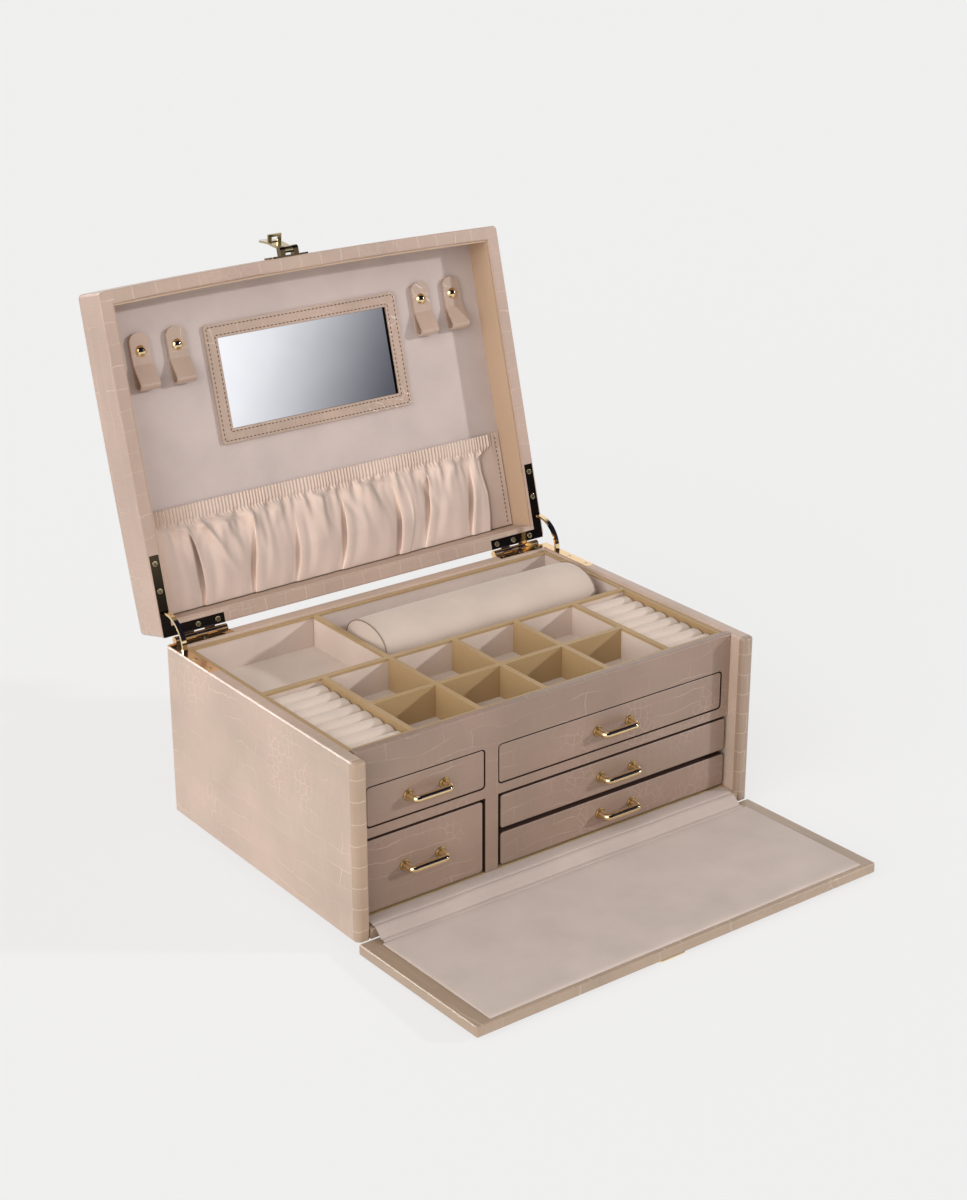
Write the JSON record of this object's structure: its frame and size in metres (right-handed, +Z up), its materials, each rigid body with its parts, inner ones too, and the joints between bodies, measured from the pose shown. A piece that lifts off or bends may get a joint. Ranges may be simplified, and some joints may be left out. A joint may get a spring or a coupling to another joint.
{
  "type": "jewellery box",
  "caption": "Jewellery box with a mirrored lid, lined divided tray, ring rolls, bracelet roll, drop-down front flap and sliding drawers with bow handles.",
  "frame": {"origin": "middle of the plinth's underside, on the table", "axes": "+X right, +Y back, +Z up; the drawers face -Y"},
  "size_m": [0.32, 0.4423, 0.3648],
  "materials": {
    "leather": "embossed leatherette with a soft shine",
    "board": "plain fibreboard",
    "felt": "dark felt over board",
    "olive": "smooth olive leatherette",
    "velvet": "short pile velvet",
    "cream_velvet": "short pile velvet",
    "brass": "polished plating",
    "mirror": "silvered glass"
  },
  "bodies": {
    "carcass": {"base_hinge_leaves": "brass", "base_hinge_screws": "brass", "base_panel": "board", "bay_liner": "olive", "column_partition": "board", "drawer_runners": "board", "drawer_shelves": "board", "flap_hinge_strip": "velvet", "front_frame": "leather", "grid_cross_dividers": "olive", "grid_long_divider": "olive", "hinge_pins": "brass", "left_ring_pad": "cream_velvet", "left_side_panel": "leather", "plinth": "felt", "rear_bay_divider": "olive", "rear_panel": "leather", "right_ring_pad": "cream_velvet", "right_side_panel": "leather", "ring_dividers": "olive", "row_divider": "olive", "tray_floor": "board", "tray_lining": "velvet", "tray_rim": "olive", "tray_walls": "velvet"},
    "lid": {"lid_walls": "leather", "lid_top": "leather", "lid_lining": "velvet", "lid_side_lining": "velvet", "mirror_frame": "leather", "mirror_glass": "mirror", "strap_loops": "leather", "strap_studs": "brass", "lid_pocket": "velvet", "lid_hinge_leaves": "brass", "lid_hinge_screws": "brass", "clasp_plate": "brass", "clasp_pin": "brass"},
    "hasp": {"clasp_hasp": "brass"},
    "stays": {"stay_arms": "brass"},
    "flap": {"flap_board": "leather", "flap_panel": "velvet", "clasp_keeper": "brass"},
    "roll": {"bracelet_roll": "cream_velvet"},
    "upper_left_drawer": {"upper_left_drawer_front": "leather", "upper_left_drawer_box": "velvet", "upper_left_drawer_handle": "brass"},
    "lower_left_drawer": {"lower_left_drawer_front": "leather", "lower_left_drawer_box": "velvet", "lower_left_drawer_handle": "brass"},
    "upper_right_drawer": {"upper_right_drawer_front": "leather", "upper_right_drawer_box": "velvet", "upper_right_drawer_handle": "brass"},
    "middle_right_drawer": {"middle_right_drawer_front": "leather", "middle_right_drawer_box": "velvet", "middle_right_drawer_handle": "brass"},
    "lower_right_drawer": {"lower_right_drawer_front": "leather", "lower_right_drawer_box": "velvet", "lower_right_drawer_handle": "brass"}
  },
  "joints": [
    {"name": "lid_hinge", "type": "hinge", "parent": "carcass", "child": "lid", "pos_m": [0, 0.1137, 0.1277], "axis": [-1, 0, 0], "range_deg": [-105, 0]},
    {"name": "stay_swing", "type": "hinge", "parent": "carcass", "child": "stays", "pos_m": [0, 0.1137, 0.1277], "axis": [-1, 0, 0], "range_deg": [-52.5, 0]},
    {"name": "hasp_hinge", "type": "hinge", "parent": "lid", "child": "hasp", "pos_m": [-0.012, 0.18162, 0.35724], "axis": [-1, 0, 0], "range_deg": [-160, 0]},
    {"name": "flap_hinge", "type": "hinge", "parent": "carcass", "child": "flap", "pos_m": [0, -0.1108, 0.0075], "axis": [1, 0, 0], "range_deg": [-88.6, 0], "deforming": ["flap_hinge_strip"]},
    {"name": "upper_left_drawer_slide", "type": "slide", "parent": "carcass", "child": "upper_left_drawer", "axis": [0, -1, 0], "range_m": [0, 0.14]},
    {"name": "lower_left_drawer_slide", "type": "slide", "parent": "carcass", "child": "lower_left_drawer", "axis": [0, -1, 0], "range_m": [0, 0.14]},
    {"name": "upper_right_drawer_slide", "type": "slide", "parent": "carcass", "child": "upper_right_drawer", "axis": [0, -1, 0], "range_m": [0, 0.14]},
    {"name": "middle_right_drawer_slide", "type": "slide", "parent": "carcass", "child": "middle_right_drawer", "axis": [0, -1, 0], "range_m": [0, 0.14]},
    {"name": "lower_right_drawer_slide", "type": "slide", "parent": "carcass", "child": "lower_right_drawer", "axis": [0, -1, 0], "range_m": [0, 0.14]},
    {"name": "roll_lift", "type": "slide", "parent": "carcass", "child": "roll", "axis": [0, 0, 1], "range_m": [0, 0.05]}
  ],
  "couplings": [
    {"joint": "stay_swing", "follows": "lid_hinge", "ratio": 0.5}
  ]
}
